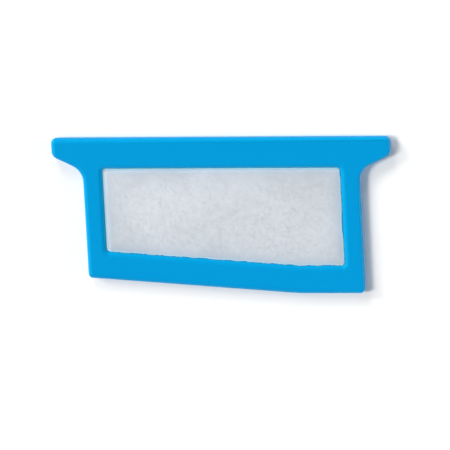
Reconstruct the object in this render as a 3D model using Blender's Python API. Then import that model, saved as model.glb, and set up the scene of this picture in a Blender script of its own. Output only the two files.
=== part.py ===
"""Disposable air filter for a breathing machine: a moulded frame that holds a felt pad.

Metres, +Z up. The filter lies flat on its back face, with its long straight edge
towards +Y. The origin is the middle of its outline's bounding box, on the back face.
"""

import math

import bmesh
import bpy

# Outline of the frame
OVERALL_WIDTH = 0.0850
RIGHT_HEIGHT = 0.0395
LEFT_HEIGHT = 0.0354
BOTTOM_FLAT_LENGTH = 0.0162
LEFT_WING_REACH = 0.0076
RIGHT_WING_REACH = 0.0080
WING_TIP_HEIGHT = 0.00455
WING_UNDERSIDE_ANGLE = math.radians(26)

# Corners of the outline
TOP_CORNER_RADIUS = 0.00125
WING_CORNER_RADIUS = 0.0020
NECK_RADIUS = 0.0045
BOTTOM_CORNER_RADIUS = 0.0011
BOTTOM_BEND_RADIUS = 0.060

# Section of the frame
THICKNESS = 0.0025
EDGE_WIDTH = 0.0013
EDGE_DEPTH = 0.0009
LIP_WIDTH = 0.0016
LIP_DEPTH = 0.0010
LEAST_CORNER_RADIUS = 0.0003
TOP_BAR = 0.00775
LEFT_BAR = 0.0050
RIGHT_BAR = 0.00475
BOTTOM_BAR = 0.0072
WINDOW_CORNER_RADIUS = 0.0008

# Groove inside the frame, all round the window
GROOVE_DEPTH = 0.0018
GROOVE_HEIGHT = 0.0011

# Felt pad: full thickness in the window, pinched to a thin rim in the groove
PAD_RECESS = 0.0003
PAD_SHOULDER_WIDTH = 0.0016
PAD_SIDE_CLEARANCE = 0.00025
RIM_FACE_CLEARANCE = 0.00020
RIM_END_CLEARANCE = 0.00030

# Steps of the round stretches
ARC_STEP = math.radians(6)
EDGE_STEPS = 6
SHOULDER_STEPS = 8
SHARP_ANGLE = math.radians(40)

# Finishes: linear colour, roughness
FRAME_BLUE = (0.0, 0.310, 0.700)
FRAME_ROUGHNESS = 0.55
FELT_WHITE = (0.62, 0.69, 0.74)
FELT_ROUGHNESS = 0.95

# Sizes that follow from those above
TOP_EDGE = RIGHT_HEIGHT / 2
BOTTOM_EDGE = -RIGHT_HEIGHT / 2
LEFT_SIDE = LEFT_WING_REACH - OVERALL_WIDTH / 2
RIGHT_SIDE = OVERALL_WIDTH / 2 - RIGHT_WING_REACH
BEND_X = RIGHT_SIDE - BOTTOM_FLAT_LENGTH
BOTTOM_SLOPE = math.atan2(RIGHT_HEIGHT - LEFT_HEIGHT, BEND_X - LEFT_SIDE)
PAD_THICKNESS = THICKNESS - 2 * PAD_RECESS
RIM_THICKNESS = GROOVE_HEIGHT - 2 * RIM_FACE_CLEARANCE


def clear_scene():
    """Empty the scene and the collections that an earlier run left."""
    for obj in list(bpy.data.objects):
        bpy.data.objects.remove(obj, do_unlink=True)
    for collection in list(bpy.data.collections):
        bpy.data.collections.remove(collection)


def new_collection(name):
    collection = bpy.data.collections.new(name)
    bpy.context.scene.collection.children.link(collection)
    return collection


def finish(name, colour, roughness):
    """A plain Principled material of one colour."""
    material = bpy.data.materials.new(name)
    material.use_nodes = True
    shader = material.node_tree.nodes["Principled BSDF"]
    shader.inputs["Base Color"].default_value = (*colour, 1)
    shader.inputs["Roughness"].default_value = roughness
    shader.inputs["Metallic"].default_value = 0
    material.diffuse_color = (*colour, 1)
    return material


def frame_plastic():
    return finish("blue_polypropylene", FRAME_BLUE, FRAME_ROUGHNESS)


def filter_felt():
    return finish("white_felt", FELT_WHITE, FELT_ROUGHNESS)


def wing_corners(side, outward, reach):
    """The corners of one wing from its top end to its neck.

    side is the x of the frame's side under the wing, and outward is -1 or 1.
    """
    tip = side + outward * reach
    drop = reach * math.tan(WING_UNDERSIDE_ANGLE)
    return [
        (tip, TOP_EDGE, TOP_CORNER_RADIUS),
        (tip, TOP_EDGE - WING_TIP_HEIGHT, WING_CORNER_RADIUS),
        (side, TOP_EDGE - WING_TIP_HEIGHT - drop, NECK_RADIUS),
    ]


def frame_corners():
    """The frame's outline, anticlockwise from the left wing's top corner."""
    left_wing = wing_corners(LEFT_SIDE, -1, LEFT_WING_REACH)
    right_wing = wing_corners(RIGHT_SIDE, 1, RIGHT_WING_REACH)
    bottom = [
        (LEFT_SIDE, TOP_EDGE - LEFT_HEIGHT, BOTTOM_CORNER_RADIUS),
        (BEND_X, BOTTOM_EDGE, BOTTOM_BEND_RADIUS),
        (RIGHT_SIDE, BOTTOM_EDGE, BOTTOM_CORNER_RADIUS),
    ]
    return left_wing + bottom + right_wing[::-1]


def window_corners():
    """The window's outline, anticlockwise from its top left corner.

    The window's bottom edge runs parallel to the frame's, slope and flat.
    """
    left = LEFT_SIDE + LEFT_BAR
    right = RIGHT_SIDE - RIGHT_BAR
    top = TOP_EDGE - TOP_BAR
    bottom = BOTTOM_EDGE + BOTTOM_BAR
    bend = BEND_X + BOTTOM_BAR * math.tan(BOTTOM_SLOPE / 2)
    low_left = bottom + (bend - left) * math.tan(BOTTOM_SLOPE)
    return [
        (left, top, WINDOW_CORNER_RADIUS),
        (left, low_left, WINDOW_CORNER_RADIUS),
        (bend, bottom, BOTTOM_BEND_RADIUS),
        (right, bottom, WINDOW_CORNER_RADIUS),
        (right, top, WINDOW_CORNER_RADIUS),
    ]


def headings(corners, i):
    """The directions in which an outline reaches and leaves one of its corners."""
    x, y = corners[i][:2]
    before = corners[i - 1]
    after = corners[(i + 1) % len(corners)]
    heading = math.atan2(y - before[1], x - before[0])
    leaving = math.atan2(after[1] - y, after[0] - x)
    return heading, leaving


def grown(corners, grow):
    """The outline with every edge moved outward by grow, about the same arc centres."""
    moved = []
    for i, (x, y, radius) in enumerate(corners):
        heading, leaving = headings(corners, i)
        turn = math.remainder(leaving - heading, math.tau)
        share = grow / (1 + math.cos(turn))
        new_x = x + share * (math.sin(heading) + math.sin(leaving))
        new_y = y - share * (math.cos(heading) + math.cos(leaving))
        new_radius = max(radius + math.copysign(grow, turn * grow), LEAST_CORNER_RADIUS)
        moved.append((new_x, new_y, new_radius))
    return moved


def rounded(corners):
    """The points of a closed outline whose corners are arcs of their own radius."""
    points = []
    for i, (x, y, radius) in enumerate(corners):
        heading, leaving = headings(corners, i)
        turn = math.remainder(leaving - heading, math.tau)
        reach = radius * math.tan(abs(turn) / 2)
        start_x = x - reach * math.cos(heading)
        start_y = y - reach * math.sin(heading)
        side = math.copysign(1, turn)
        centre_x = start_x - side * radius * math.sin(heading)
        centre_y = start_y + side * radius * math.cos(heading)
        steps = max(2, round(abs(turn) / ARC_STEP))
        for k in range(steps + 1):
            angle = heading + turn * k / steps
            px = centre_x + side * radius * math.sin(angle)
            py = centre_y - side * radius * math.cos(angle)
            points.append((px, py))
    return points


def loft(name, sections, collection):
    """A closed solid through level outlines, listed from back to front.

    Each section is the corners of an outline and its height from the mid-plane,
    and all the outlines have the same number of corners.
    """
    shape = bmesh.new()
    rings = []
    for corners, height in sections:
        rings.append([shape.verts.new((x, y, height)) for x, y in rounded(corners)])
    for low, high in zip(rings, rings[1:]):
        for k in range(len(low)):
            shape.faces.new((low[k - 1], low[k], high[k], high[k - 1]))
    shape.faces.new(rings[0])
    shape.faces.new(rings[-1])
    bmesh.ops.recalc_face_normals(shape, faces=shape.faces)
    mesh = bpy.data.meshes.new(name)
    shape.to_mesh(mesh)
    shape.free()
    return place(name, mesh, collection)


def place(name, mesh, collection):
    """An object of this mesh, with the mesh's level zero on the frame's mid-plane."""
    obj = bpy.data.objects.new(name, mesh)
    obj.location.z = THICKNESS / 2
    collection.objects.link(obj)
    return obj


def hidden(obj):
    """Mark an object as one that only shapes another."""
    obj.hide_render = True
    obj.display_type = "WIRE"
    return obj


def cut(obj, cutter):
    """Take one object's shape out of another."""
    step = obj.modifiers.new("cut_" + cutter.name, "BOOLEAN")
    step.operation = "DIFFERENCE"
    step.solver = "EXACT"
    step.object = cutter


def dress(obj, material):
    """Give an object its material, and smooth shading with crisp corners."""
    obj.data.materials.clear()
    obj.data.materials.append(material)
    obj.data.shade_smooth()
    obj.data.set_sharp_from_angle(angle=SHARP_ANGLE)


def both_sides(front):
    """A section from the back face to the front, from its (grow, height) front half."""
    back = [(grow, -height) for grow, height in front]
    return back + front[::-1]


def crowned_section(width, depth):
    """A crowned edge from the back face to the front: (inward, height) pairs.

    Each face falls away towards the edge over a quarter of an ellipse.
    """
    side = THICKNESS / 2 - depth
    front = []
    for k in range(EDGE_STEPS + 1):
        angle = math.pi / 2 * k / EDGE_STEPS
        inward = width * (1 - math.sin(angle))
        front.append((inward, side + depth * math.cos(angle)))
    return both_sides(front)


def make_frame(parts, cutters):
    """The moulded frame: a winged plate with a window and a groove all round it."""
    edge = crowned_section(EDGE_WIDTH, EDGE_DEPTH)
    body = [(grown(frame_corners(), -inward), height) for inward, height in edge]
    frame = loft("frame", body, parts)
    lip = crowned_section(LIP_WIDTH, LIP_DEPTH)
    flare = [(grown(window_corners(), inward), height) for inward, height in lip]
    below = (flare[0][0], -THICKNESS)
    above = (flare[-1][0], THICKNESS)
    window = hidden(loft("window", [below] + flare + [above], cutters))
    groove_outline = grown(window_corners(), GROOVE_DEPTH)
    groove_sections = [(groove_outline, side * GROOVE_HEIGHT / 2) for side in (-1, 1)]
    groove = hidden(loft("groove", groove_sections, cutters))
    cut(frame, window)
    cut(frame, groove)
    dress(frame, frame_plastic())
    return frame


def pad_half_section():
    """The pad's section from its front face to its edge: (grow, height) pairs.

    The face swells over an elliptical shoulder from the rim's thickness to the
    pad's, and the rim reaches into the groove.
    """
    swell = (PAD_THICKNESS - RIM_THICKNESS) / 2
    section = []
    for k in range(SHOULDER_STEPS + 1):
        angle = math.pi / 2 * k / SHOULDER_STEPS
        inward = PAD_SHOULDER_WIDTH * (1 - math.sin(angle))
        height = RIM_THICKNESS / 2 + swell * math.cos(angle)
        section.append((-PAD_SIDE_CLEARANCE - inward, height))
    section.append((GROOVE_DEPTH - RIM_END_CLEARANCE, RIM_THICKNESS / 2))
    return section


def make_filter_media(parts):
    """The felt pad: a round-shouldered body with a thin pressed rim in the groove."""
    section = both_sides(pad_half_section())
    sections = [(grown(window_corners(), grow), height) for grow, height in section]
    pad = loft("filter_media", sections, parts)
    dress(pad, filter_felt())
    return pad


def main():
    clear_scene()
    parts = new_collection("breathing_machine_air_filter")
    cutters = new_collection("cutters")
    make_frame(parts, cutters)
    make_filter_media(parts)


main()
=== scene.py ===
"""Looks of the breathing machine's disposable air filter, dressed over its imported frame.

Metres, +Z up. The filter lies flat on its back face with its long straight edge
towards +Y, and a long lens looks down on it from above its upper right corner.
"""

from __future__ import annotations

import logging
import math
from dataclasses import dataclass
from enum import Enum
from typing import Any, Callable, Mapping, Sequence

import bmesh
import bpy
import numpy as np
from mathutils import Matrix, Vector, noise


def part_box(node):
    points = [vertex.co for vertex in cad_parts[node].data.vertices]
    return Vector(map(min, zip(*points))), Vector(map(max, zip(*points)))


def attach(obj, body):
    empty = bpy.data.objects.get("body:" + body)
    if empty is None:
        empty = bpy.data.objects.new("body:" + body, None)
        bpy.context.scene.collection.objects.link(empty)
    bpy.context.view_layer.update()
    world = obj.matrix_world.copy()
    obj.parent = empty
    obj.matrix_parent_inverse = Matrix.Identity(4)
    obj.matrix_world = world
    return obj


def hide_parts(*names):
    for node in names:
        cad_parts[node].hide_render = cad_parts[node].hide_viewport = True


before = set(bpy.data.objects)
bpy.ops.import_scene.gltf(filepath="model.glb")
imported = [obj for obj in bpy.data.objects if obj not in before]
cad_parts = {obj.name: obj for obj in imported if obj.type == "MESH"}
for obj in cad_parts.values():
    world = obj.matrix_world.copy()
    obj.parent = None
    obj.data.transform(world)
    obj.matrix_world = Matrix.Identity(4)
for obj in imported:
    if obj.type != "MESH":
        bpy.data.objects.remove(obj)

LOG = logging.getLogger("air_filter")
MILLIMETRE = 0.001
IMAGE_SIDE_PIXELS = 450
SENSOR_WIDTH_MM = 36.0
TINY = 1e-12

# Half the frame's thickness, at which the mid-plane of both pieces lies.
MID_HEIGHT = 0.00125

# Most of a noise pattern lies in this range. A noise that bends has one finer layer.
NOISE_RANGE = (0.30, 0.70)
NOISE_MIDDLE = 0.5
BEND_DETAIL = 1.0

# Numbers that the pad or its fibres keep at their points.
INSET = "inset"
# How far a point lies inside the painted cyan glow of light reflected from the plastic.
PAINTED_GLOW_INSET = "painted_glow_inset"
STRAND = "strand"

Array = np.ndarray
Columns = list[list[bmesh.types.BMVert]]
Colour = tuple[float, float, float]
WHITE: Colour = (1.0, 1.0, 1.0)


class PadSide(Enum):
    """The two faces of the felt pad, by the sign of their height."""

    FRONT = 1
    BACK = -1


class Draw(Enum):
    """The random numbers that each fibre gets, by what is added to the seed."""

    TURN = 1
    SIZE = 2
    STRAND = 3


class Signal:
    """A node's output socket that takes part in Python expressions as a number."""

    def __init__(self, graph: NodeGraph, socket: bpy.types.NodeSocket) -> None:
        """Wrap one output socket of a node that stands in a graph."""
        self.graph = graph
        self.socket = socket

    def _math(self, operation: str, first: Any, second: Any) -> Signal:
        """Add one Math node.

        Args:
            operation: The Math node's operation.
            first: A Signal or a number.
            second: A Signal or a number.

        Returns:
            The node's result.
        """
        settings = {"operation": operation}
        inputs = {0: first, 1: second}
        return self.graph.node("ShaderNodeMath", settings, inputs).out(0)

    def __add__(self, other: Any) -> Signal:
        """Return self + other."""
        return self._math("ADD", self, other)

    def __radd__(self, other: Any) -> Signal:
        """Return other + self."""
        return self._math("ADD", other, self)

    def __sub__(self, other: Any) -> Signal:
        """Return self - other."""
        return self._math("SUBTRACT", self, other)

    def __rsub__(self, other: Any) -> Signal:
        """Return other - self."""
        return self._math("SUBTRACT", other, self)

    def __mul__(self, other: Any) -> Signal:
        """Return self * other."""
        return self._math("MULTIPLY", self, other)

    def __rmul__(self, other: Any) -> Signal:
        """Return other * self."""
        return self._math("MULTIPLY", other, self)

    def __rpow__(self, other: Any) -> Signal:
        """Return other ** self."""
        return self._math("POWER", other, self)

    def at_least(self, other: Any) -> Signal:
        """Return the larger of self and other."""
        return self._math("MAXIMUM", self, other)


@dataclass
class GraphNode:
    """A node that a graph has added."""

    graph: NodeGraph
    node: bpy.types.Node

    def out(self, key: int | str = 0) -> Signal:
        """Return one output, by its place or name, as a Signal."""
        return Signal(self.graph, self.node.outputs[key])


class NodeGraph:
    """Builds a node tree from Python calls, for a material, a world or geometry."""

    def __init__(self, tree: bpy.types.NodeTree) -> None:
        """Keep a tree to build in, and empty it."""
        self.tree = tree
        tree.nodes.clear()

    def node(
        self,
        kind: str,
        settings: Mapping[str, Any] | None = None,
        inputs: Mapping[int | str, Any] | None = None,
    ) -> GraphNode:
        """Add a node, set it up, and then fill or link its sockets.

        Args:
            kind: The node's type name.
            settings: Properties to set first.
            inputs: Values or Signals, by the socket's place or name.

        Returns:
            The node that was added.
        """
        node = self.tree.nodes.new(kind)
        for name, value in (settings or {}).items():
            setattr(node, name, value)
        for key, value in (inputs or {}).items():
            if isinstance(value, Signal):
                self.tree.links.new(value.socket, node.inputs[key])
            else:
                node.inputs[key].default_value = value
        return GraphNode(self, node)

    def vector(self, operation: str, first: Signal, second: Any) -> Signal:
        """Add one Vector Math node.

        Args:
            operation: The node's operation.
            first: A vector.
            second: A vector or, for the operation SCALE, a number.

        Returns:
            The node's result.
        """
        key = "Scale" if operation == "SCALE" else 1
        inputs = {0: first, key: second}
        return self.node("ShaderNodeVectorMath", {"operation": operation}, inputs).out(0)

    def noise(self, where: Signal, grain: float, detail: float = 2.0) -> Signal:
        """Add a noise pattern.

        Args:
            where: The coordinates, in metres.
            grain: The size of one grain, in metres.
            detail: How many finer layers it has.

        Returns:
            The pattern, round NOISE_MIDDLE.
        """
        inputs = {"Vector": where, "Scale": 1.0 / grain, "Detail": detail}
        return self.node("ShaderNodeTexNoise", None, inputs).out("Fac")

    def clouds(self, where: Signal, grain: float, detail: float = 2.0) -> Signal:
        """Return a noise pattern that is stretched over 0 to 1."""
        return self.ramp(self.noise(where, grain, detail), *NOISE_RANGE)

    def blend(self, mask: Signal, low: Any, high: Any, mode: str = "MIX") -> Signal:
        """Mix two colours.

        Args:
            mask: 0 gives low, and 1 gives high or what the mode makes of both.
            low: A colour or a Signal.
            high: A colour or a Signal.
            mode: The Mix node's way of blending.

        Returns:
            The mixed colour.
        """
        settings = {"data_type": "RGBA", "blend_type": mode}
        # Its sockets for numbers have the same names, so these are the colours' places.
        inputs = {0: mask, 6: rgba(low), 7: rgba(high)}
        return self.node("ShaderNodeMix", settings, inputs).out(2)

    def ramp(self, mask: Signal, low: float, high: float) -> Signal:
        """Stretch part of a pattern over 0 to 1.

        Args:
            mask: The pattern.
            low: The value that becomes 0.
            high: The value that becomes 1.

        Returns:
            The stretched pattern, held within 0 and 1.
        """
        settings = {"interpolation_type": "SMOOTHSTEP"}
        inputs = {"Value": mask, "From Min": low, "From Max": high}
        return self.node("ShaderNodeMapRange", settings, inputs).out(0)

    def turned(self, where: Signal, angle: float, stretch: Sequence[float]) -> Signal:
        """Turn coordinates about Z, then stretch them.

        Args:
            where: The coordinates.
            angle: The turn, in radians.
            stretch: How the turned axes are scaled.

        Returns:
            The new coordinates.
        """
        spun = {"Vector": where, "Angle": angle}
        turn = self.node("ShaderNodeVectorRotate", {"rotation_type": "Z_AXIS"}, spun)
        return self.vector("MULTIPLY", turn.out(0), tuple(stretch))

    def warped(self, where: Signal, grain: float, reach: float) -> Signal:
        """Bend coordinates with a vector noise.

        Args:
            where: The coordinates.
            grain: The size of one bend.
            reach: How far apart the bends can move two places.

        Returns:
            The new coordinates.
        """
        inputs = {"Vector": where, "Scale": 1.0 / grain, "Detail": BEND_DETAIL}
        pattern = self.node("ShaderNodeTexNoise", None, inputs).out("Color")
        return self.vector("ADD", where, self.vector("SCALE", pattern, reach))

    def place(self) -> Signal:
        """Return the Object coordinates of the surface."""
        return self.node("ShaderNodeTexCoord").out("Object")

    def attribute(self, name: str) -> Signal:
        """Return a number that the mesh keeps at its points."""
        return self.node("ShaderNodeAttribute", {"attribute_name": name}).out("Fac")

    def bump(self, height: Signal, distance: float) -> Signal:
        """Return the normal that a height pattern, in shares of distance, gives."""
        inputs = {"Height": height, "Distance": distance}
        return self.node("ShaderNodeBump", None, inputs).out("Normal")


def rgba(value: Any) -> Any:
    """Return a colour with its alpha, and leave a Signal as it is."""
    return value if isinstance(value, Signal) else (*value, 1.0)


def clamped(value: float) -> float:
    """Return a number held within 0 and 1."""
    return min(max(value, 0.0), 1.0)


def new_material(name: str) -> tuple[bpy.types.Material, NodeGraph]:
    """Make an empty node material.

    Args:
        name: The material's name.

    Returns:
        The material and the graph of its nodes.
    """
    material = bpy.data.materials.new(name)
    material.use_nodes = True
    return material, NodeGraph(material.node_tree)


def principled(
    name: str, build: Callable[[NodeGraph], Mapping[str, Any]]
) -> bpy.types.Material:
    """Make a material of one Principled shader.

    Args:
        name: The material's name.
        build: Adds the patterns to the graph and returns the shader's inputs.

    Returns:
        The material.
    """
    material, graph = new_material(name)
    shader = graph.node("ShaderNodeBsdfPrincipled", None, build(graph))
    graph.node("ShaderNodeOutputMaterial", None, {"Surface": shader.out("BSDF")})
    return material


@dataclass(frozen=True)
class MouldedPlastic:
    """Blue polypropylene with a fine satin grain, slightly see-through at its edges."""

    name: str = "blue_moulded_plastic"
    colour: Colour = (0.0, 0.293, 0.736)
    deep_colour: Colour = (0.0, 0.277, 0.709)
    roughness: float = 0.60
    roughness_spread: float = 0.08
    specular: float = 1.0
    specular_tint: Colour = (0.0, 1.0, 0.20)
    cloud_size: float = 0.009
    cloud_detail: float = 3.0
    grain_size: float = 0.00016
    grain_height: float = 0.000004
    glow_share: float = 0.30
    glow_reach: float = 0.0010
    glow_colour: Colour = (0.25, 0.8, 1.0)

    def material(self) -> bpy.types.Material:
        """Return the finish as a material."""
        return principled(self.name, self._inputs)

    def _inputs(self, graph: NodeGraph) -> dict[str, Any]:
        """Add the patterns.

        Args:
            graph: The material's graph.

        Returns:
            The shader's inputs.
        """
        where = graph.place()
        cloud = graph.noise(where, self.cloud_size, self.cloud_detail)
        grain = graph.noise(where, self.grain_size)
        return {
            "Base Color": graph.blend(cloud, self.deep_colour, self.colour),
            "Roughness": self.roughness + (cloud - NOISE_MIDDLE) * self.roughness_spread,
            "Normal": graph.bump(grain, self.grain_height),
            "Specular IOR Level": self.specular,
            "Specular Tint": rgba(self.specular_tint),
            "Subsurface Weight": self.glow_share,
            "Subsurface Radius": self.glow_colour,
            "Subsurface Scale": self.glow_reach,
        }


@dataclass(frozen=True)
class NonWovenFelt:
    """Cool white felt: cloudy in density, with crossing fibres pressed into its face.

    It carries painted shade, a little darker and bluer towards the window's edge, where the
    blue plastic shades it, and a painted cyan glow on its outermost strip for light from the lit
    plastic.
    """

    name: str = "white_non_woven_felt"
    colour: Colour = (0.746, 0.782, 0.826)
    thin_colour: Colour = (0.600, 0.636, 0.675)
    # Painted shade: the felt is multiplied darker towards the frame, where the lips shade it.
    painted_shade_tint: Colour = (0.85, 0.89, 0.93)
    painted_shade_reach: float = 0.0024
    # Painted shade and painted blue reflected light: darker in red, kept in blue, close to the
    # window's edge.
    painted_edge_shade_glow: Colour = (0.75, 0.885, 1.0)
    edge_reach: float = 0.00085
    # Painted glow: a cyan colour on the felt's outermost strip stands in for blue light reflected
    # from the lit plastic.
    painted_glow_colour: Colour = (0.52, 0.87, 1.0)
    painted_glow_core: float = 0.00022
    painted_glow_width: float = 0.00056
    roughness: float = 0.95
    specular: float = 0.15
    sheen: float = 0.12
    scatter_share: float = 0.8
    scatter_reach: float = 0.0008
    scatter_colour: Colour = (0.9, 1.0, 1.0)
    drift_size: float = 0.026
    drift_detail: float = 1.0
    drift_shift: tuple[float, float, float] = (0.185, 0.105, 0.25)
    drift_share: float = 0.54
    cloud_size: float = 0.0085
    lump_size: float = 0.0022
    lump_detail: float = 3.0
    lump_share: float = 0.16
    fibre_width: float = 0.00006
    fibre_length: float = 0.0014
    fibre_directions: int = 7
    fibre_detail: float = 1.0
    fibre_range: tuple[float, float] = (0.52, 0.80)
    fibre_curl: float = 0.0004
    fibre_curl_size: float = 0.0012
    fibre_height: float = 0.000011
    fibre_share: float = 0.12

    def material(self) -> bpy.types.Material:
        """Return the finish as a material."""
        return principled(self.name, self._inputs)

    def _fibres(self, graph: NodeGraph, where: Signal) -> Signal:
        """Add streaks that lie across each other in several directions.

        Args:
            graph: The material's graph.
            where: The surface's coordinates.

        Returns:
            The strongest streak at each place.
        """
        stretch = (1.0 / self.fibre_length, 1.0 / self.fibre_width, 1.0 / self.fibre_length)
        where = graph.warped(where, self.fibre_curl_size, self.fibre_curl)
        top: Signal | None = None
        for k in range(self.fibre_directions):
            angle = math.pi * k / self.fibre_directions
            spread = graph.turned(where, angle, stretch)
            streak = graph.noise(spread, grain=1.0, detail=self.fibre_detail)
            top = streak if top is None else top.at_least(streak)
        return graph.ramp(top, *self.fibre_range)

    def _inputs(self, graph: NodeGraph) -> dict[str, Any]:
        """Add the patterns.

        Args:
            graph: The material's graph.

        Returns:
            The shader's inputs.
        """
        where = graph.place()
        shifted = graph.vector("ADD", where, self.drift_shift)
        drift = graph.clouds(shifted, self.drift_size, self.drift_detail)
        cloud = graph.clouds(where, self.cloud_size)
        lump = graph.clouds(where, self.lump_size, self.lump_detail)
        fibres = self._fibres(graph, where)
        rest = 1.0 - self.drift_share - self.lump_share - self.fibre_share
        dense = drift * self.drift_share + cloud * rest
        dense = dense + lump * self.lump_share + fibres * self.fibre_share
        shade = graph.blend(dense, self.thin_colour, self.colour)
        inset = graph.attribute(INSET).at_least(0.0)
        # Painted shade: both tints darken the felt more the closer it lies to the window's edge.
        for tint, reach in (
            (self.painted_shade_tint, self.painted_shade_reach),
            (self.painted_edge_shade_glow, self.edge_reach),
        ):
            near = math.e ** (inset * (-1.0 / reach))
            shade = graph.blend(near, shade, tint, "MULTIPLY")
        # Painted glow: the felt takes the cyan colour where it lies within the glow's reach of the
        # edge.
        glow_free = graph.ramp(graph.attribute(PAINTED_GLOW_INSET), self.painted_glow_core, self.painted_glow_width)
        return {
            "Base Color": graph.blend(1.0 - glow_free, shade, self.painted_glow_colour),
            "Roughness": self.roughness,
            "Normal": graph.bump(fibres + lump, self.fibre_height),
            "Specular IOR Level": self.specular,
            "Sheen Weight": self.sheen,
            "Subsurface Weight": self.scatter_share,
            "Subsurface Radius": self.scatter_colour,
            "Subsurface Scale": self.scatter_reach,
        }


@dataclass(frozen=True)
class LooseFibre:
    """The white polyester of single fibres."""

    name: str = "white_loose_fibre"
    colour: Colour = (0.78, 0.82, 0.86)
    shaded_colour: Colour = (0.66, 0.71, 0.75)
    roughness: float = 0.75
    specular: float = 0.2
    cloud_size: float = 0.003

    def material(self) -> bpy.types.Material:
        """Return the finish as a material."""
        return principled(self.name, self._inputs)

    def _inputs(self, graph: NodeGraph) -> dict[str, Any]:
        """Add the patterns.

        Args:
            graph: The material's graph.

        Returns:
            The shader's inputs.
        """
        cloud = graph.clouds(graph.place(), self.cloud_size)
        return {
            "Base Color": graph.blend(cloud, self.shaded_colour, self.colour),
            "Roughness": self.roughness,
            "Specular IOR Level": self.specular,
        }


@dataclass(frozen=True)
class PaperSweep:
    """The white floor, which shows pure white where no clear shadow falls."""

    name: str = "white_sweep"
    colour: Colour = (0.90, 0.90, 0.90)
    seen_colour: Colour = (1.025, 1.025, 1.025)

    def material(self) -> bpy.types.Material:
        """Make the floor's material, which is paler to the camera than to the filter.

        Returns:
            The material.
        """
        material, graph = new_material(self.name)
        path = graph.node("ShaderNodeLightPath")
        seen = path.out("Is Camera Ray").at_least(path.out("Is Glossy Ray"))
        seen = seen.at_least(path.out("Is Transmission Ray"))
        lit = graph.node("ShaderNodeBsdfDiffuse", None, {"Color": rgba(self.colour)})
        shown = graph.node("ShaderNodeBsdfDiffuse", None, {"Color": rgba(self.seen_colour)})
        mixed = {0: seen, 1: lit.out(), 2: shown.out()}
        surface = graph.node("ShaderNodeMixShader", None, mixed).out()
        graph.node("ShaderNodeOutputMaterial", None, {"Surface": surface})
        return material


def linked(name: str, mesh: bpy.types.Mesh, material: bpy.types.Material) -> bpy.types.Object:
    """Put a mesh in the scene.

    Args:
        name: The object's name.
        mesh: Its mesh, which stays where its points are.
        material: Its one material.

    Returns:
        The object.
    """
    mesh.materials.clear()
    mesh.materials.append(material)
    obj = bpy.data.objects.new(name, mesh)
    bpy.context.scene.collection.objects.link(obj)
    return obj


def triangle_count(obj: bpy.types.Object) -> int:
    """Return how many triangles an object's mesh makes."""
    return sum(len(polygon.vertices) - 2 for polygon in obj.data.polygons)


@dataclass(frozen=True)
class Window:
    """The frame's window: straight sides, and a bottom edge that slants, then runs flat."""

    left: float
    right: float
    top: float
    bottom: float
    left_bottom: float
    bend: float

    def slant(self) -> float:
        """Return the angle of the slanted stretch."""
        return math.atan2(self.left_bottom - self.bottom, self.bend - self.left)

    def floor(self, x: Array, grow: float) -> Array:
        """Find the bottom edge of the window, or of one that is larger all round.

        Args:
            x: Places along the edge.
            grow: How much larger the window is on each side.

        Returns:
            The edge's y at each place.
        """
        slant = self.slant()
        slanted = self.bottom + (self.bend - x) * math.tan(slant) - grow / math.cos(slant)
        return np.maximum(self.bottom - grow, slanted)


@dataclass(frozen=True)
class EdgeRound:
    """An elliptical round between the frame's side and its face, and the share of it kept."""

    width: float
    depth: float
    kept: float

    def drawn(self, height: float) -> float:
        """Find how far a point moves to the side when the round is made narrower.

        Args:
            height: The point's height.

        Returns:
            The distance, which is 0 at the mid-plane and largest at a face.
        """
        rise = clamped((abs(height - MID_HEIGHT) - MID_HEIGHT + self.depth) / self.depth)
        return (1.0 - self.kept) * self.width * (1.0 - math.sqrt(1.0 - rise * rise))


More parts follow.
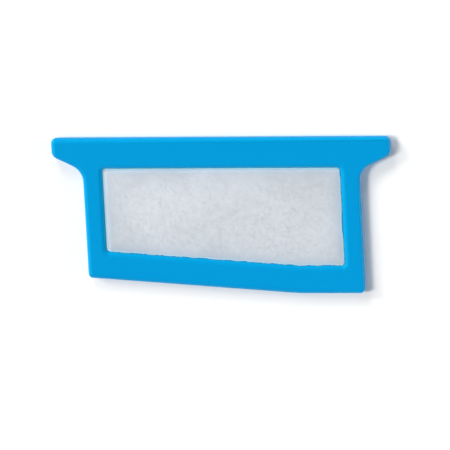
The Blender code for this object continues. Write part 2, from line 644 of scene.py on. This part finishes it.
@dataclass
class MouldedFrame:
    """The one-piece blue frame: winged outline, round edges and the window's groove."""

    node: str = "frame"
    body: str = "root"
    slot: str = "frame_plastic"
    weld: float = 1e-6
    flat_angle: float = math.radians(0.5)
    sharp_angle: float = math.radians(50)
    lip: EdgeRound = EdgeRound(0.0016, 0.0010, kept=0.74)
    window_corner: float = 0.0008
    side: EdgeRound = EdgeRound(0.0013, 0.0009, kept=0.30)
    side_turn: float = 0.6

    def build(self, finish: MouldedPlastic, window: Window) -> bpy.types.Object:
        """Rebuild the frame with joined points and smooth rounds.

        Args:
            finish: The plastic.
            window: The frame's window.

        Returns:
            The piece, riding on its body.
        """
        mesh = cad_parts[self.node].data.copy()
        mesh.name = "moulded_frame"
        self._join(mesh, window)
        piece = linked("moulded_frame", mesh, finish.material())
        mesh.shade_smooth()
        mesh.set_sharp_from_angle(angle=self.sharp_angle)
        even = piece.modifiers.new("even_faces", "WEIGHTED_NORMAL")
        even.keep_sharp = True
        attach(piece, self.body)
        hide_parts(self.node)
        return piece

    def _join(self, mesh: bpy.types.Mesh, window: Window) -> None:
        """Join the mesh's loose triangles, clear its flat faces and narrow its rounds.

        Args:
            mesh: A copy of the CAD node's mesh.
            window: The frame's window.
        """
        shape = bmesh.new()
        shape.from_mesh(mesh)
        bmesh.ops.remove_doubles(shape, verts=shape.verts, dist=self.weld)
        bmesh.ops.dissolve_limit(
            shape,
            angle_limit=self.flat_angle,
            verts=shape.verts,
            edges=shape.edges,
        )
        shape.normal_update()
        shifts = [self._lip_shift(v.co, window) + self._side_shift(v, window) for v in shape.verts]
        for vert, shift in zip(shape.verts, shifts):
            vert.co += shift
        shape.to_mesh(mesh)
        shape.free()

    def _lip_shift(self, place: Vector, window: Window) -> Vector:
        """Find how a point moves to make the left and top lips narrower.

        Args:
            place: The point.
            window: The frame's window.

        Returns:
            The move, towards the window.
        """
        x, y, z = place
        reach = self.lip.width + self.weld
        if x < window.left - reach or y > window.top + reach:
            return Vector()
        out = Vector((
            min(x - window.left - self.window_corner, 0.0),
            max(y - window.top + self.window_corner, 0.0),
            0.0,
        ))
        inside = min(window.right - x, y - float(window.floor(np.array(x), 0.0)))
        return out.normalized() * -self.lip.drawn(z) * clamped(inside / self.window_corner)

    def _side_shift(self, vert: bmesh.types.BMVert, window: Window) -> Vector:
        """Find how a point moves to make the rounds of the sides that look right narrower.

        Args:
            vert: The point.
            window: The frame's window.

        Returns:
            The move, out to the side.
        """
        x, y, z = vert.co
        reach = self.lip.width + self.weld
        level = window.left - reach < x < window.right + reach
        if level and float(window.floor(np.array(x), reach)) < y < window.top + reach:
            return Vector()
        out = Vector((vert.normal.x, vert.normal.y, 0.0)).normalized()
        return out * self.side.drawn(z) * clamped(out.x / self.side_turn)


@dataclass(frozen=True)
class Shoulder:
    """How the pad's surface leaves one edge of the window.

    It rises over its reach and leans out over the lip. The painted cyan glow of light
    reflected from the plastic is narrower on it by a set distance.
    """

    reach: float
    lean: float = 0.0
    glow_free: float = 0.0
    lean_middle: float = 0.00022
    outer_width: float = 0.00013
    inner_width: float = 0.00028

    def swell(self, inset: Array) -> Array:
        """Return how much of the swell stands at each distance inside the edge, from 0 to 1."""
        return 1.0 - np.exp(-((np.maximum(inset, 0.0) / self.reach) ** 2))

    def leant(self, inset: Array) -> Array:
        """Work out how far the surface leans out over the lip.

        Args:
            inset: Distances inside the edge.

        Returns:
            The lean at each of them.
        """
        away = inset - self.lean_middle
        width = np.where(away < 0.0, self.outer_width, self.inner_width)
        start = np.clip(inset / self.outer_width, 0.0, 1.0)
        return self.lean * start * np.exp(-((away / width) ** 2))


@dataclass
class FeltPad:
    """The non-woven felt pad: lumpy faces that dive under the frame's lips.

    Its tufts are grain sizes with their shares of the lean, and its lumps are grain
    sizes with their heights. A layer is the height in the noise that a pattern is
    read at, which keeps the patterns apart.
    """

    node: str = "filter_media"
    body: str = "root"
    slot: str = "filter_felt"
    rim_reach: float = 0.0015
    window_flat: float = 0.01117
    window_rise: float = 0.00374
    rim_half_height: float = 0.00054
    lip_swell: float = 0.00028
    crown_swell: float = 0.00006
    crown_reach: float = 0.0011
    # On the left and top the lips are in shade, so the painted cyan glow is narrower there.
    left: Shoulder = Shoulder(0.00075, glow_free=0.00010)
    right: Shoulder = Shoulder(0.00014, lean=0.00044)
    bottom: Shoulder = Shoulder(0.00014, lean=0.00040)
    top: Shoulder = Shoulder(0.00060, glow_free=0.00010)
    corner_fade: float = 0.0003
    tufts: tuple[tuple[float, float], ...] = ((0.0019, 0.75), (0.0006, 0.55))
    tuft_middle: float = 0.82
    tuft_least: float = 0.35
    tuft_layer: float = 40.0
    lumps: tuple[tuple[float, float], ...] = (
        (0.0085, 0.00005),
        (0.0028, 0.00002),
        (0.0011, 0.000009),
    )
    lump_layer: float = 10.0
    corner_radius: float = 0.0023
    rim_steps: int = 5
    edge_lines: int = 12
    edge_reach: float = 0.0007
    edge_power: float = 1.4
    spacing: float = 0.00026

    def window(self) -> Window:
        """Find the window that the pad fills, from the CAD pad's box.

        Returns:
            The window.
        """
        low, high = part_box(self.node)
        right = high[0] - self.rim_reach
        bottom = low[1] + self.rim_reach
        return Window(
            left=low[0] + self.rim_reach,
            right=right,
            top=high[1] - self.rim_reach,
            bottom=bottom,
            left_bottom=bottom + self.window_rise,
            bend=right - self.window_flat,
        )

    def build(self, finish: NonWovenFelt) -> bpy.types.Object:
        """Model the pad as two lumpy faces joined at the rim.

        Args:
            finish: The felt.

        Returns:
            The piece, riding on its body.
        """
        x, y, gaps = self._grid()
        shoulders = (self.left, self.right, self.bottom, self.top)
        swell = np.prod([edge.swell(gap) for edge, gap in zip(shoulders, gaps)], axis=0)
        inset = np.minimum.reduce(gaps)
        # Distances for the painted glow of reflected blue light, narrower where the lips are in
        # shade.
        painted_glow_inset = np.minimum.reduce([gap + edge.glow_free for edge, gap in zip(shoulders, gaps)])
        x, y = self._leant(x, y, gaps)
        x, y = self._rounded(x, y)
        shape = bmesh.new()
        front, back = (
            self._face(shape, x, y, self._heights(x, y, inset, swell, side)) for side in PadSide
        )
        self._close(shape, front, back)
        bmesh.ops.recalc_face_normals(shape, faces=shape.faces)
        mesh = bpy.data.meshes.new("felt_pad")
        shape.to_mesh(mesh)
        shape.free()
        mesh.shade_smooth()
        for name, values in ((INSET, inset), (PAINTED_GLOW_INSET, painted_glow_inset)):
            kept = mesh.attributes.new(name, "FLOAT", "POINT")
            kept.data.foreach_set("value", np.tile(values.ravel(), 2).astype(np.float32))
        piece = linked("felt_pad", mesh, finish.material())
        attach(piece, self.body)
        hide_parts(self.node)
        return piece

    def declare(self) -> None:
        """Read the CAD pad's box, and do nothing more with it.
        """
        low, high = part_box(self.node)

    def _steps(self) -> Array:
        """Place the grid lines near one edge of the window.

        Returns:
            Their distances inside the edge, negative in the rim.
        """
        rim = np.linspace(-self.rim_reach, 0.0, self.rim_steps)[:-1]
        edge = self.edge_reach * np.linspace(0.0, 1.0, self.edge_lines) ** self.edge_power
        return np.concatenate([rim, edge])

    def _lines(self, length: float) -> tuple[Array, Array]:
        """Split a stretch between two window edges: close lines at both ends.

        Args:
            length: The window's size across the stretch.

        Returns:
            For each line, its share of the way along and its set distance from it.
        """
        near = self._steps()
        span = length - 2 * near[-1]
        count = round(span / self.spacing)
        inner = np.linspace(0.0, 1.0, count + 1)[1:-1]
        shares = np.concatenate([np.zeros(len(near)), inner, np.ones(len(near))])
        ends = near[-1] * (1.0 - 2.0 * inner)
        return shares, np.concatenate([near, ends, -near[::-1]])

    def _grid(self) -> tuple[Array, Array, list[Array]]:
        """Lay a grid over the pad's outline, closer at the window's edges.

        Returns:
            The x and y of the grid's points, and their distances inside the
            window's left, right, bottom and top edges.
        """
        window = self.window()
        share, extra = self._lines(window.right - window.left)
        x = window.left + share * (window.right - window.left) + extra
        share, extra = self._lines(window.top - window.bottom)
        floor = window.floor(x, 0.0)[:, None]
        y = floor + share[None, :] * (window.top - floor) + extra[None, :]
        x = x[:, None] + np.zeros_like(y)
        return x, y, [x - window.left, window.right - x, y - floor, window.top - y]

    def _leant(self, x: Array, y: Array, gaps: Sequence[Array]) -> tuple[Array, Array]:
        """Let tufts of the pad's shoulder lean out over the frame's lips.

        Args:
            x: The grid's x.
            y: The grid's y.
            gaps: Distances inside the left, right, bottom and top edges.

        Returns:
            The new x and y.
        """
        tuft = np.full_like(x, self.tuft_middle)
        for size, swing in self.tufts:
            tuft += swing * self._pattern(x, y, size, self.tuft_layer)
        tuft = np.clip(tuft, self.tuft_least, 1.0)
        left, right, bottom, top = gaps
        upright = np.clip(np.minimum(bottom, top) / self.corner_fade, 0.0, 1.0)
        upright *= self.bottom.swell(bottom) * self.top.swell(top)
        level = np.clip(np.minimum(left, right) / self.corner_fade, 0.0, 1.0)
        level *= self.left.swell(left) * self.right.swell(right)
        return (
            x + tuft * upright * (self.right.leant(right) - self.left.leant(left)),
            y + tuft * level * (self.top.leant(top) - self.bottom.leant(bottom)),
        )

    def _rounded(self, x: Array, y: Array) -> tuple[Array, Array]:
        """Draw the grid's corners in from square to round.

        Args:
            x: The grid's x.
            y: The grid's y.

        Returns:
            The new x and y.
        """
        window = self.window()
        reach = self.corner_radius - self.rim_reach
        floor = window.floor(x, 0.0)
        across = np.maximum(window.left + reach - x, x - window.right + reach)
        along = np.maximum(floor + reach - y, y - window.top + reach)
        across, along = np.maximum(across, 0.0), np.maximum(along, 0.0)
        share = np.maximum(across, along) / np.maximum(np.hypot(across, along), TINY)
        share = np.where(np.minimum(across, along) > 0.0, share, 1.0)
        x_in = across * (1.0 - share) * np.where(x > 0.0, -1.0, 1.0)
        y_in = along * (1.0 - share) * np.where(y > 0.0, -1.0, 1.0)
        return x + x_in, y + y_in

    @staticmethod
    def _pattern(x: Array, y: Array, size: float, layer: float) -> Array:
        """Read a noise pattern at each point.

        Args:
            x: The grid's x.
            y: The grid's y.
            size: The size of one grain.
            layer: The pattern's layer.

        Returns:
            The values, from -1 to 1.
        """
        places = zip(x.ravel() / size, y.ravel() / size)
        values = [noise.noise(Vector((*place, layer))) for place in places]
        return np.array(values).reshape(x.shape)

    def _heights(self, x: Array, y: Array, inset: Array, swell: Array, side: PadSide) -> Array:
        """Work out the heights of one face.

        Args:
            x: The grid's x.
            y: The grid's y.
            inset: Distances inside the window's nearest edge.
            swell: Shares of the swell past the lip.
            side: Which face.

        Returns:
            The z of the grid's points.
        """
        inside = np.maximum(inset, 0.0)
        crown = self.crown_swell * (1.0 - np.exp(-inside / self.crown_reach))
        lumps = np.zeros_like(x)
        for size, rise in self.lumps:
            lumps += rise * self._pattern(x, y, size, self.lump_layer * side.value)
        grow = np.clip(inside / self.edge_reach, 0.0, 1.0)
        height = self.rim_half_height + self.lip_swell * swell + crown + lumps * grow
        return MID_HEIGHT + side.value * height

    @staticmethod
    def _face(shape: bmesh.types.BMesh, x: Array, y: Array, z: Array) -> Columns:
        """Add one face's grid of points and quads.

        Args:
            shape: The mesh that is being built.
            x: The grid's x.
            y: The grid's y.
            z: The grid's z.

        Returns:
            The points, column by column.
        """
        points = [
            [shape.verts.new(p) for p in zip(x[i], y[i], z[i])] for i in range(len(x))
        ]
        for left, right in zip(points, points[1:]):
            for k in range(len(left) - 1):
                shape.faces.new((left[k], right[k], right[k + 1], left[k + 1]))
        return points

    @staticmethod
    def _close(shape: bmesh.types.BMesh, front: Columns, back: Columns) -> None:
        """Join the two faces round the rim.

        Args:
            shape: The mesh that is being built.
            front: The front face's points, column by column.
            back: The back face's points.
        """
        rims = []
        for grid in (front, back):
            loop = [column[0] for column in grid] + grid[-1][1:-1]
            loop += [column[-1] for column in reversed(grid)] + grid[0][-2:0:-1]
            rims.append(loop)
        over, under = rims
        for k in range(len(over)):
            shape.faces.new((over[k - 1], over[k], under[k], under[k - 1]))


@dataclass
class LooseFibres:
    """Single curled fibres that lie on one face of the pad."""

    side: PadSide
    per_square_metre: float = 3.2e6
    length: float = 0.0016
    size_range: tuple[float, float] = (0.45, 1.35)
    radius: float = 0.000008
    edges: int = 3
    curl: float = 0.0009
    curl_size: float = 0.0013
    curl_rise: float = 0.10
    lift: float = 0.000010
    border: float = 0.0011
    least_facing: float = 0.5
    steps: int = 6
    strand_spread: float = 500.0
    seed: int = 11
    slot: str = "filter_felt"

    def build(self, pad: bpy.types.Object, finish: LooseFibre) -> bpy.types.Object:
        """Scatter fibres over the pad with a Geometry Nodes tree and mesh them.

        Args:
            pad: The felt pad.
            finish: The fibres' material.

        Returns:
            The piece, riding on the pad's body.
        """
        material = finish.material()
        source = bpy.data.objects.new("fibre_source", pad.data.copy())
        bpy.context.scene.collection.objects.link(source)
        step = source.modifiers.new("scatter", "NODES")
        step.node_group = self._tree(material)
        self._fill(step)
        graph = bpy.context.evaluated_depsgraph_get()
        mesh = bpy.data.meshes.new_from_object(source.evaluated_get(graph))
        source.modifiers.remove(step)
        bpy.data.objects.remove(source, do_unlink=True)
        mesh.shade_smooth()
        name = "felt_fibres_" + self.side.name.lower()
        mesh.name = name
        piece = linked(name, mesh, material)
        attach(piece, "root")
        return piece

    def _sizes(self) -> dict[str, float | int]:
        """Collect the tree's named inputs.

        Returns:
            The inputs' names and values.
        """
        return {
            "Density": self.per_square_metre,
            "Length": self.length,
            "Radius": self.radius,
            "Curl": self.curl,
            "Curl Size": self.curl_size,
            "Lift": self.lift * self.side.value,
            "Border": self.border,
            "Facing": float(self.side.value),
            "Seed": self.seed,
        }

    def _fill(self, step: bpy.types.Modifier) -> None:
        """Set the modifier's inputs by their identifiers.

        Args:
            step: The Geometry Nodes modifier.
        """
        sizes = self._sizes()
        for item in step.node_group.interface.items_tree:
            if item.item_type == "SOCKET" and item.name in sizes:
                step[item.identifier] = sizes[item.name]

    def _tree(self, material: bpy.types.Material) -> bpy.types.GeometryNodeTree:
        """Build the tree that scatters, curls and thickens the fibres.

        Args:
            material: The fibres' material.

        Returns:
            The tree, with its sizes as named inputs.
        """
        tree = bpy.data.node_groups.new("fibre_scatter", "GeometryNodeTree")
        graph = NodeGraph(tree)
        sockets = tree.interface
        sockets.new_socket("Geometry", in_out="INPUT", socket_type="NodeSocketGeometry")
        for name, value in self._sizes().items():
            kind = "NodeSocketInt" if isinstance(value, int) else "NodeSocketFloat"
            sockets.new_socket(name, in_out="INPUT", socket_type=kind)
        sockets.new_socket("Geometry", in_out="OUTPUT", socket_type="NodeSocketGeometry")
        given = graph.node("NodeGroupInput")
        strands = self._strands(given, self._scattered(given))
        tubes = self._tubes(given, self._curled(given, strands))
        real = graph.node("GeometryNodeRealizeInstances", None, {0: tubes})
        dressed = {"Geometry": real.out(), "Material": material}
        done = graph.node("GeometryNodeSetMaterial", None, dressed)
        graph.node("NodeGroupOutput", None, {0: done.out()})
        return tree

    @staticmethod
    def _read(graph: NodeGraph, name: str) -> Signal:
        """Return a number that the points of the geometry keep."""
        settings = {"data_type": "FLOAT"}
        return graph.node("GeometryNodeInputNamedAttribute", settings, {"Name": name}).out(0)

    @staticmethod
    def _above(value: Signal, limit: Any) -> Signal:
        """Return where a number is larger than a limit."""
        settings = {"data_type": "FLOAT", "operation": "GREATER_THAN"}
        return value.graph.node("FunctionNodeCompare", settings, {0: value, 1: limit}).out(0)

    def _scattered(self, given: GraphNode) -> Signal:
        """Scatter points on the faces that look the right way, off the pad's border.

        Args:
            given: The tree's inputs.

        Returns:
            The points.
        """
        graph = given.graph
        normal = graph.node("GeometryNodeInputNormal").out(0)
        up = graph.node("ShaderNodeSeparateXYZ", None, {0: normal}).out("Z")
        facing = self._above(up * given.out("Facing"), self.least_facing)
        inner = self._above(self._read(graph, INSET), given.out("Border"))
        both = {0: facing, 1: inner}
        picked = graph.node("FunctionNodeBooleanMath", {"operation": "AND"}, both)
        inputs = {
            "Mesh": given.out("Geometry"),
            "Selection": picked.out(0),
            "Density": given.out("Density"),
            "Seed": given.out("Seed"),
        }
        return graph.node("GeometryNodeDistributePointsOnFaces", None, inputs).out("Points")

    def _strands(self, given: GraphNode, points: Signal) -> Signal:
        """Lay a straight line at each point, with its own turn, size and number.

        Args:
            given: The tree's inputs.
            points: Where the fibres lie.

        Returns:
            The lines, realised.
        """
        graph = given.graph
        half = given.out("Length") * 0.5
        start, end = (
            graph.node("ShaderNodeCombineXYZ", None, {"X": half * sign}).out(0)
            for sign in (-1.0, 1.0)
        )
        ends = {"Start": start, "End": end}
        line = graph.node("GeometryNodeCurvePrimitiveLine", None, ends)
        fine = {"Curve": line.out(), "Count": self.steps}
        line = graph.node("GeometryNodeResampleCurve", None, fine)
        number = self._random(given, Draw.STRAND, 0.0, self.strand_spread)
        kept = {0: points, "Name": STRAND, "Value": number}
        points = graph.node("GeometryNodeStoreNamedAttribute", {"data_type": "FLOAT"}, kept).out()
        spin = self._random(given, Draw.TURN, 0.0, math.tau)
        turned = graph.node("ShaderNodeCombineXYZ", None, {"Z": spin}).out(0)
        size = self._random(given, Draw.SIZE, *self.size_range)
        laid = {"Points": points, "Instance": line.out(), "Rotation": turned, "Scale": size}
        copies = graph.node("GeometryNodeInstanceOnPoints", None, laid)
        return graph.node("GeometryNodeRealizeInstances", None, {0: copies.out()}).out()

    @staticmethod
    def _random(given: GraphNode, draw: Draw, low: float, high: float) -> Signal:
        """Draw one number for each point.

        Args:
            given: The tree's inputs.
            draw: Which number it is.
            low: The least value.
            high: The largest value.

        Returns:
            The number.
        """
        # Its sockets for vectors have the same names, so these are the numbers' places.
        inputs = {2: low, 3: high, "Seed": given.out("Seed") + draw.value}
        settings = {"data_type": "FLOAT"}
        return given.graph.node("FunctionNodeRandomValue", settings, inputs).out(1)

    def _curled(self, given: GraphNode, lines: Signal) -> Signal:
        """Bend each line with a vector noise of its own, and lift it off the felt.

        Args:
            given: The tree's inputs.
            lines: The straight lines.

        Returns:
            The curled lines.
        """
        graph = given.graph
        strand = self._read(graph, STRAND)
        inputs = {"W": strand, "Scale": 1.0 / self.curl_size, "Detail": BEND_DETAIL}
        pattern = graph.node("ShaderNodeTexNoise", {"noise_dimensions": "4D"}, inputs)
        swing = graph.vector("SUBTRACT", pattern.out("Color"), (NOISE_MIDDLE,) * 3)
        swing = graph.vector("MULTIPLY", swing, (1.0, 1.0, self.curl_rise))
        swing = graph.vector("SCALE", swing, given.out("Curl"))
        lift = graph.node("ShaderNodeCombineXYZ", None, {"Z": given.out("Lift")}).out()
        moved = {"Geometry": lines, "Offset": graph.vector("ADD", swing, lift)}
        return graph.node("GeometryNodeSetPosition", None, moved).out()

    def _tubes(self, given: GraphNode, lines: Signal) -> Signal:
        """Give the lines their thickness.

        Args:
            given: The tree's inputs.
            lines: The curled lines.

        Returns:
            The fibres as mesh.
        """
        graph = given.graph
        section = {"Resolution": self.edges, "Radius": given.out("Radius")}
        ring = graph.node("GeometryNodeCurvePrimitiveCircle", None, section)
        swept = {"Curve": lines, "Profile Curve": ring.out(), "Fill Caps": True}
        return graph.node("GeometryNodeCurveToMesh", None, swept).out()


@dataclass(frozen=True)
class Lamp:
    """A broad, far lamp or white card.

    Its share is of the light on a level white surface. Its angle is its height above
    the floor, its heading runs anticlockwise from +X, and all angles are in degrees.
    """

    name: str
    share: float
    angle: float
    heading: float
    spread: float = 20.0

    def build(self) -> bpy.types.Object:
        """Add the lamp, turned to the middle of the floor.

        Returns:
            The lamp.
        """
        lamp = bpy.data.lights.new(self.name, "SUN")
        angle, heading = math.radians(self.angle), math.radians(self.heading)
        lamp.energy = math.pi * self.share / math.sin(angle)
        lamp.angle = math.radians(self.spread)
        obj = bpy.data.objects.new(self.name, lamp)
        level = math.cos(angle)
        towards = Vector((level * math.cos(heading), level * math.sin(heading), math.sin(angle)))
        obj.rotation_euler = towards.to_track_quat("Z", "Y").to_euler()
        bpy.context.scene.collection.objects.link(obj)
        return obj


@dataclass
class Studio:
    """The white floor, the lamps and cards, and the long lens of the photograph."""

    floor_side: float = 1.2
    floor_drop: float = 0.00002
    lamps: tuple[Lamp, ...] = (
        Lamp("key_lamp", share=0.44, angle=46.0, heading=180.0),
        Lamp("side_lamp", share=0.22, angle=24.0, heading=150.0),
        Lamp("back_lamp", share=0.15, angle=24.0, heading=105.0),
        Lamp("right_card", share=0.085, angle=10.0, heading=0.0),
        Lamp("front_card", share=0.045, angle=8.0, heading=270.0),
    )
    sky_share: float = 0.115
    camera_lean_right: float = 0.2079
    camera_lean_up: float = 0.2325
    camera_roll: float = math.radians(-3.0965)
    camera_distance: float = 1.9
    camera_clip: tuple[float, float] = (0.1, 10.0)
    pixels_per_millimetre: float = 4.0605
    centre_pixel: tuple[float, float] = (223.75, 215.18)

    def build(self) -> None:
        """Make the floor, the lamps, the sky and the camera."""
        self._floor()
        for lamp in self.lamps:
            lamp.build()
        self._sky()
        self._camera()
        bpy.context.scene.view_settings.view_transform = "Standard"

    def _floor(self) -> None:
        """Lay the white floor just under the filter."""
        shape = bmesh.new()
        bmesh.ops.create_grid(shape, x_segments=1, y_segments=1, size=self.floor_side / 2)
        mesh = bpy.data.meshes.new("floor")
        shape.to_mesh(mesh)
        shape.free()
        floor = linked("floor", mesh, PaperSweep().material())
        floor.location.z = -self.floor_drop

    def _sky(self) -> None:
        """Light everything evenly, and show white where the floor ends."""
        world = bpy.data.worlds.new("soft_sky")
        bpy.context.scene.world = world
        world.use_nodes = True
        graph = NodeGraph(world.node_tree)
        seen = graph.node("ShaderNodeLightPath").out("Is Camera Ray")
        strength = self.sky_share + seen * (1.0 - self.sky_share)
        inputs = {"Color": rgba(WHITE), "Strength": strength}
        sky = graph.node("ShaderNodeBackground", None, inputs)
        graph.node("ShaderNodeOutputWorld", None, {"Surface": sky.out()})

    def _camera(self) -> None:
        """Stand the camera where the photograph was taken from."""
        back = math.sqrt(1.0 - self.camera_lean_right**2 - self.camera_lean_up**2)
        towards = Vector((self.camera_lean_right, self.camera_lean_up, back))
        across = Vector((0.0, 1.0, 0.0)).cross(towards).normalized()
        upright = Matrix((across, towards.cross(across), towards)).transposed()
        turn = upright @ Matrix.Rotation(self.camera_roll, 3, "Z")
        per_pixel = MILLIMETRE / self.pixels_per_millimetre
        middle = IMAGE_SIDE_PIXELS / 2
        shift = Vector((middle - self.centre_pixel[0], self.centre_pixel[1] - middle, 0.0))
        aim = Vector((0.0, 0.0, MID_HEIGHT)) + turn @ (shift * per_pixel)
        data = bpy.data.cameras.new("long_lens")
        data.sensor_width = SENSOR_WIDTH_MM
        view_width = IMAGE_SIDE_PIXELS * per_pixel
        data.lens = SENSOR_WIDTH_MM * self.camera_distance / view_width
        data.clip_start, data.clip_end = self.camera_clip
        camera = bpy.data.objects.new("camera", data)
        place = Matrix.Translation(aim + towards * self.camera_distance)
        camera.matrix_world = place @ turn.to_4x4()
        bpy.context.scene.collection.objects.link(camera)
        bpy.context.scene.camera = camera


def report(piece: bpy.types.Object) -> bpy.types.Object:
    """Log a finished piece and return it."""
    LOG.info("%s: %d triangles", piece.name, triangle_count(piece))
    return piece


def main() -> None:
    """Build the studio and the filter's pieces in order."""
    logging.basicConfig(level=logging.INFO, format="%(name)s %(message)s")
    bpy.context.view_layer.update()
    Studio().build()
    felt = FeltPad()
    report(MouldedFrame().build(MouldedPlastic(), felt.window()))
    pad = report(felt.build(NonWovenFelt()))
    fibres = [report(LooseFibres(side).build(pad, LooseFibre())) for side in PadSide]
    felt.declare()


if __name__ == "__main__":
    main()
